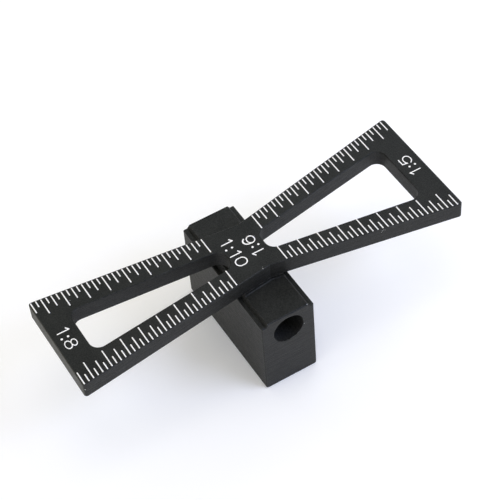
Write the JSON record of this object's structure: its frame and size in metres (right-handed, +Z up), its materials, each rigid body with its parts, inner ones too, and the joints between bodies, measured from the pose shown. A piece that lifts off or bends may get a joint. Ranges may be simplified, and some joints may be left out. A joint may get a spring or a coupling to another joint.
{
  "type": "dovetail marker",
  "caption": "Bow-tie blade with four marking slopes and open windows, one piece with the bored cross block that carries it.",
  "frame": {"origin": "middle of the cross block's flat underside", "axes": "+X along the blade towards the wing with the 1:5 edges, +Y along the cross block and its bore, +Z up through the blade's graduated face"},
  "size_m": [0.0804, 0.0296, 0.0236],
  "materials": {
    "anodised_body": "black anodised, fine satin"
  },
  "bodies": {
    "root": {"marker_body": "anodised_body"}
  },
  "joints": []
}
